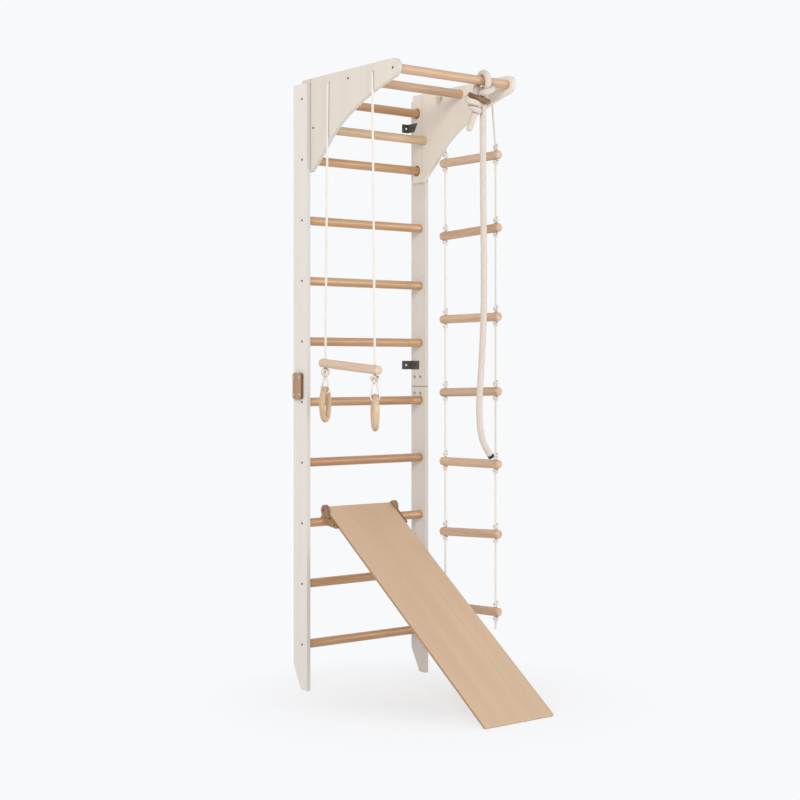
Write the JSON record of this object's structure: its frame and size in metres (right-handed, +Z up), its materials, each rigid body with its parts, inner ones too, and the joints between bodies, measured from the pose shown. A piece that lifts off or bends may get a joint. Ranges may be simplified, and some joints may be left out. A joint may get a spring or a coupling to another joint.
{
  "type": "wall bars with slide",
  "caption": "Children's wall bars with overhead bars, a trapeze with rings, a rope ladder, a climbing rope and a slide board that hooks on a rung.",
  "frame": {"origin": "middle of the four wall-bracket holes, in the plane of the wall", "axes": "+Z up, +Y into the wall, +X to the right of someone who faces the wall"},
  "size_m": [0.68, 1.0154, 2.4258],
  "materials": {
    "frame_wood": "clear satin lacquer on pale wood",
    "rung_wood": "clear satin lacquer",
    "pale_wood": "sanded",
    "plywood": "lacquered plywood",
    "slide_ply": "smooth lacquered plywood",
    "ring_wood": "satin lacquer",
    "toggle_wood": "sanded",
    "rope": "braided cotton rope",
    "dark_steel": "satin",
    "bolt_steel": "dull zinc plate",
    "black_cap": "matte"
  },
  "bodies": {
    "frame": {"left_upright_lower": "frame_wood", "left_upright_upper": "frame_wood", "left_gusset": "frame_wood", "left_splice_plate": "plywood", "left_lower_bracket": "dark_steel", "left_upper_bracket": "dark_steel", "right_upright_lower": "frame_wood", "right_upright_upper": "frame_wood", "right_gusset": "frame_wood", "right_splice_plate": "plywood", "right_lower_bracket": "dark_steel", "right_upper_bracket": "dark_steel", "rung_01": "rung_wood", "rung_02": "rung_wood", "rung_03": "rung_wood", "rung_04": "rung_wood", "rung_05": "rung_wood", "rung_06": "rung_wood", "rung_07": "rung_wood", "rung_08": "rung_wood", "rung_09": "rung_wood", "rung_10": "rung_wood", "pull_up_bar_front": "rung_wood", "pull_up_bar_rear": "rung_wood", "gusset_bar": "pale_wood", "rung_bolts": "bolt_steel", "bar_bolts": "bolt_steel", "splice_bolts": "bolt_steel", "splice_nuts": "bolt_steel", "bracket_screws": "dark_steel", "rope_ties": "rope"},
    "slide": {"slide_board": "slide_ply", "slide_hook_left": "plywood", "slide_hook_right": "plywood", "slide_screws": "bolt_steel"},
    "trapeze": {"trapeze_bar": "pale_wood", "trapeze_ropes": "rope", "trapeze_knots": "rope"},
    "ring_rear": {"ring_rear": "ring_wood", "ring_rear_loop": "rope"},
    "ring_front": {"ring_front": "ring_wood", "ring_front_loop": "rope"},
    "climbing_rope_body": {"climbing_rope": "rope", "climbing_rope_knot": "rope", "toggle_peg": "toggle_wood", "rope_end_cap": "black_cap"},
    "ladder_link_1": {"ladder_rung_1": "pale_wood", "ladder_ropes_1": "rope"},
    "ladder_link_2": {"ladder_rung_2": "pale_wood", "ladder_ropes_2": "rope"},
    "ladder_link_3": {"ladder_rung_3": "pale_wood", "ladder_ropes_3": "rope"},
    "ladder_link_4": {"ladder_rung_4": "pale_wood", "ladder_ropes_4": "rope"},
    "ladder_link_5": {"ladder_rung_5": "pale_wood", "ladder_ropes_5": "rope"},
    "ladder_link_6": {"ladder_rung_6": "pale_wood", "ladder_ropes_6": "rope"},
    "ladder_link_7": {"ladder_rung_7": "pale_wood", "ladder_ropes_7": "rope"}
  },
  "joints": [
    {"name": "slide_lift", "type": "hinge", "parent": "frame", "child": "slide", "pos_m": [0, -0.059, -1.125], "axis": [-1, 0, 0], "range_deg": [0, 36]},
    {"name": "trapeze_swing", "type": "hinge", "parent": "frame", "child": "trapeze", "pos_m": [-0.2968, -0.3595, 0.598], "axis": [0, 1, 0], "range_deg": [0, 60]},
    {"name": "ring_rear_swing", "type": "hinge", "parent": "trapeze", "child": "ring_rear", "pos_m": [-0.2968, -0.19997, -0.55332], "axis": [0, 1, 0], "range_deg": [-40, 40]},
    {"name": "ring_front_swing", "type": "hinge", "parent": "trapeze", "child": "ring_front", "pos_m": [-0.2968, -0.51903, -0.57788], "axis": [0, 1, 0], "range_deg": [-40, 40]},
    {"name": "climbing_rope_swing", "type": "hinge", "parent": "frame", "child": "climbing_rope_body", "pos_m": [0.15, -0.62, 0.598], "axis": [-1, 0, 0], "range_deg": [-18, 55]},
    {"name": "ladder_swing_1", "type": "hinge", "parent": "frame", "child": "ladder_link_1", "pos_m": [0.2968, -0.3595, 0.598], "axis": [0, -1, 0], "range_deg": [0, 40]},
    {"name": "ladder_swing_2", "type": "hinge", "parent": "ladder_link_1", "child": "ladder_link_2", "pos_m": [0.3098, -0.3595, 0.2914], "axis": [0, -1, 0], "range_deg": [-1, 12]},
    {"name": "ladder_swing_3", "type": "hinge", "parent": "ladder_link_2", "child": "ladder_link_3", "pos_m": [0.3098, -0.3595, -0.00959], "axis": [0, -1, 0], "range_deg": [-1, 12]},
    {"name": "ladder_swing_4", "type": "hinge", "parent": "ladder_link_3", "child": "ladder_link_4", "pos_m": [0.3098, -0.3595, -0.35396], "axis": [0, -1, 0], "range_deg": [-1, 12]},
    {"name": "ladder_swing_5", "type": "hinge", "parent": "ladder_link_4", "child": "ladder_link_5", "pos_m": [0.3098, -0.3595, -0.65568], "axis": [0, -1, 0], "range_deg": [-1, 12]},
    {"name": "ladder_swing_6", "type": "hinge", "parent": "ladder_link_5", "child": "ladder_link_6", "pos_m": [0.3098, -0.3595, -0.94023], "axis": [0, -1, 0], "range_deg": [-1, 12]},
    {"name": "ladder_swing_7", "type": "hinge", "parent": "ladder_link_6", "child": "ladder_link_7", "pos_m": [0.3098, -0.3595, -1.23023], "axis": [0, -1, 0], "range_deg": [-1, 12]}
  ]
}
